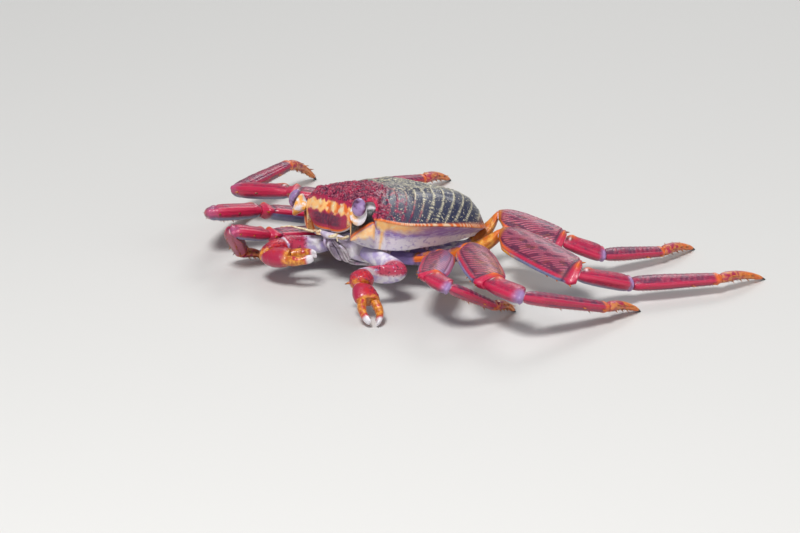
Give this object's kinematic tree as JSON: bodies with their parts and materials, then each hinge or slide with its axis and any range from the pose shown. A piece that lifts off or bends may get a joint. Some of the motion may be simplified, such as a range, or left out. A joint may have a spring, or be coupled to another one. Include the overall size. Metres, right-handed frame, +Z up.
{
  "type": "crab",
  "caption": "Red rock crab standing with its legs spread, blue-black striped shell, crimson front and legs, life size still model.",
  "frame": {"origin": "centre of the underside of the bounding box, on the floor", "axes": "+Z up, -Y where the crab faces, +X the crab's left; metres"},
  "size_m": [0.2046, 0.167, 0.0411],
  "materials": {
    "shell_dark": "wet gloss",
    "shell_pale": "satin",
    "stalk_cream": "gloss",
    "eye_purple": "high gloss",
    "feeler_orange": "satin",
    "leg_base_amber": "wet gloss",
    "leg_crimson": "wet gloss",
    "leg_scarlet": "wet gloss",
    "toe_orange": "gloss",
    "claw_white": "gloss"
  },
  "bodies": {
    "root": {"carapace": "shell_dark", "thorax": "shell_pale", "abdomen": "shell_pale", "eyestalk_left": "stalk_cream", "eye_left": "eye_purple", "antenna_left": "feeler_orange", "maxilliped_left": "shell_pale", "leg2_base_left": "leg_base_amber", "leg2_merus_left": "leg_crimson", "leg2_carpus_left": "leg_scarlet", "leg2_propodus_left": "leg_crimson", "leg2_dactyl_left": "toe_orange", "leg3_base_left": "leg_base_amber", "leg3_merus_left": "leg_crimson", "leg3_carpus_left": "leg_scarlet", "leg3_propodus_left": "leg_crimson", "leg3_dactyl_left": "toe_orange", "leg4_base_left": "leg_base_amber", "leg4_merus_left": "leg_crimson", "leg4_carpus_left": "leg_scarlet", "leg4_propodus_left": "leg_crimson", "leg4_dactyl_left": "toe_orange", "leg5_base_left": "leg_base_amber", "leg5_merus_left": "leg_crimson", "leg5_carpus_left": "leg_scarlet", "leg5_propodus_left": "leg_crimson", "leg5_dactyl_left": "toe_orange", "claw_arm_left": "claw_white", "claw_wrist_left": "leg_scarlet", "claw_palm_left": "leg_scarlet", "claw_finger_left": "toe_orange", "eyestalk_right": "stalk_cream", "eye_right": "eye_purple", "antenna_right": "feeler_orange", "maxilliped_right": "shell_pale", "leg2_base_right": "leg_base_amber", "leg2_merus_right": "leg_crimson", "leg2_carpus_right": "leg_scarlet", "leg2_propodus_right": "leg_crimson", "leg2_dactyl_right": "toe_orange", "leg3_base_right": "leg_base_amber", "leg3_merus_right": "leg_crimson", "leg3_carpus_right": "leg_scarlet", "leg3_propodus_right": "leg_crimson", "leg3_dactyl_right": "toe_orange", "leg4_base_right": "leg_base_amber", "leg4_merus_right": "leg_crimson", "leg4_carpus_right": "leg_scarlet", "leg4_propodus_right": "leg_crimson", "leg4_dactyl_right": "toe_orange", "leg5_base_right": "leg_base_amber", "leg5_merus_right": "leg_crimson", "leg5_carpus_right": "leg_scarlet", "leg5_propodus_right": "leg_crimson", "leg5_dactyl_right": "toe_orange", "claw_arm_right": "claw_white", "claw_wrist_right": "leg_scarlet", "claw_palm_right": "leg_scarlet", "claw_finger_right": "toe_orange"}
  },
  "joints": []
}
